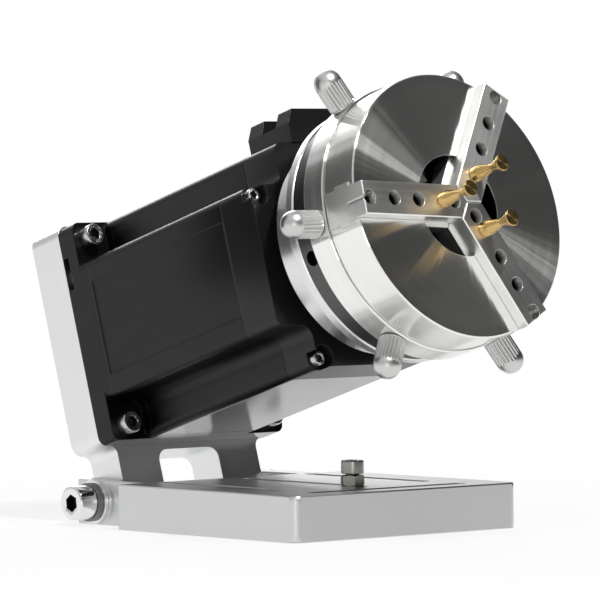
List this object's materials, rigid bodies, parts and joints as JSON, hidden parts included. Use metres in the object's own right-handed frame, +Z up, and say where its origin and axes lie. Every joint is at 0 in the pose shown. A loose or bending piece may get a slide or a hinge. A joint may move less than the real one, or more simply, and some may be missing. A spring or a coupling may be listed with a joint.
{
  "type": "laser rotary chuck",
  "caption": "Tilting laser rotary chuck: a three-jaw scroll chuck with chrome key knobs on a square black motor, hinged on a slotted aluminium base.",
  "frame": {"origin": "underside of the base, in the middle of its length and width, in the centre slot's mouth", "axes": "+X forward under the chuck along the base, +Y to the far side in the picture, +Z up"},
  "size_m": [0.2178, 0.133, 0.171],
  "materials": {
    "satin_aluminium": "fine brushed",
    "black_motor": "satin black",
    "brushed_steel_face": "turned and brushed",
    "steel": "satin",
    "dark_steel": "blackened",
    "chrome": "polished",
    "brass": "satin",
    "copper": "enamelled wire"
  },
  "bodies": {
    "base": {"base_plate": "satin_aluminium", "hinge_bolts": "chrome", "hinge_flat_washers": "chrome", "hinge_spring_washers": "dark_steel"},
    "lock": {"lock_bolt": "steel", "lock_nut": "steel"},
    "tilt_head": {"tilt_plate": "satin_aluminium", "motor_flange": "black_motor", "flange_screws": "steel", "flange_key": "steel", "motor_housing": "black_motor", "stator_core": "dark_steel", "stator_coils": "copper", "motor_end_cap": "black_motor", "tie_screws": "steel", "outlet_block": "black_motor", "outlet_screws": "steel", "bearing_outer_races": "steel"},
    "spindle": {"hollow_shaft": "steel", "rotor": "dark_steel", "bearing_inner_races": "steel", "bearing_balls": "chrome", "chuck_adapter": "satin_aluminium", "adapter_screws": "steel", "chuck_back_plate": "dark_steel", "chuck_set_screws": "dark_steel", "chuck_body": "brushed_steel_face", "chuck_body_screws": "steel"},
    "scroll": {"scroll_ring": "brushed_steel_face", "scroll_knobs": "chrome"},
    "jaw_1": {"jaw_1": "brushed_steel_face", "jaw_peg_1": "brass"},
    "jaw_2": {"jaw_2": "brushed_steel_face", "jaw_peg_2": "brass"},
    "jaw_3": {"jaw_3": "brushed_steel_face", "jaw_peg_3": "brass"}
  },
  "joints": [
    {"name": "lock_slide", "type": "slide", "parent": "base", "child": "lock", "axis": [1, 0, 0], "range_m": [-0.058, 0.004]},
    {"name": "head_tilt", "type": "hinge", "parent": "base", "child": "tilt_head", "pos_m": [-0.0785, 0, 0.0085], "axis": [0, -1, 0], "range_deg": [-17, 73]},
    {"name": "spindle_turn", "type": "hinge", "parent": "tilt_head", "child": "spindle", "pos_m": [-0.03154, 0, 0.08832], "axis": [0.9563, 0, 0.2924], "continuous": true},
    {"name": "scroll_turn", "type": "hinge", "parent": "spindle", "child": "scroll", "pos_m": [0.05587, 0, 0.11504], "axis": [-0.9563, 0, -0.2924], "range_deg": [0, 900]},
    {"name": "jaw_1_slide", "type": "slide", "parent": "spindle", "child": "jaw_1", "axis": [-0.0143, -0.9988, 0.0467], "range_m": [0, 0.0126]},
    {"name": "jaw_2_slide", "type": "slide", "parent": "spindle", "child": "jaw_2", "axis": [0.26, 0.4571, -0.8506], "range_m": [0, 0.0126]},
    {"name": "jaw_3_slide", "type": "slide", "parent": "spindle", "child": "jaw_3", "axis": [-0.2458, 0.5417, 0.8038], "range_m": [0, 0.0126]}
  ],
  "couplings": [
    {"joint": "jaw_1_slide", "follows": "scroll_turn", "m_per_rad": 0.00079577},
    {"joint": "jaw_2_slide", "follows": "scroll_turn", "m_per_rad": 0.00079577},
    {"joint": "jaw_3_slide", "follows": "scroll_turn", "m_per_rad": 0.00079577}
  ]
}
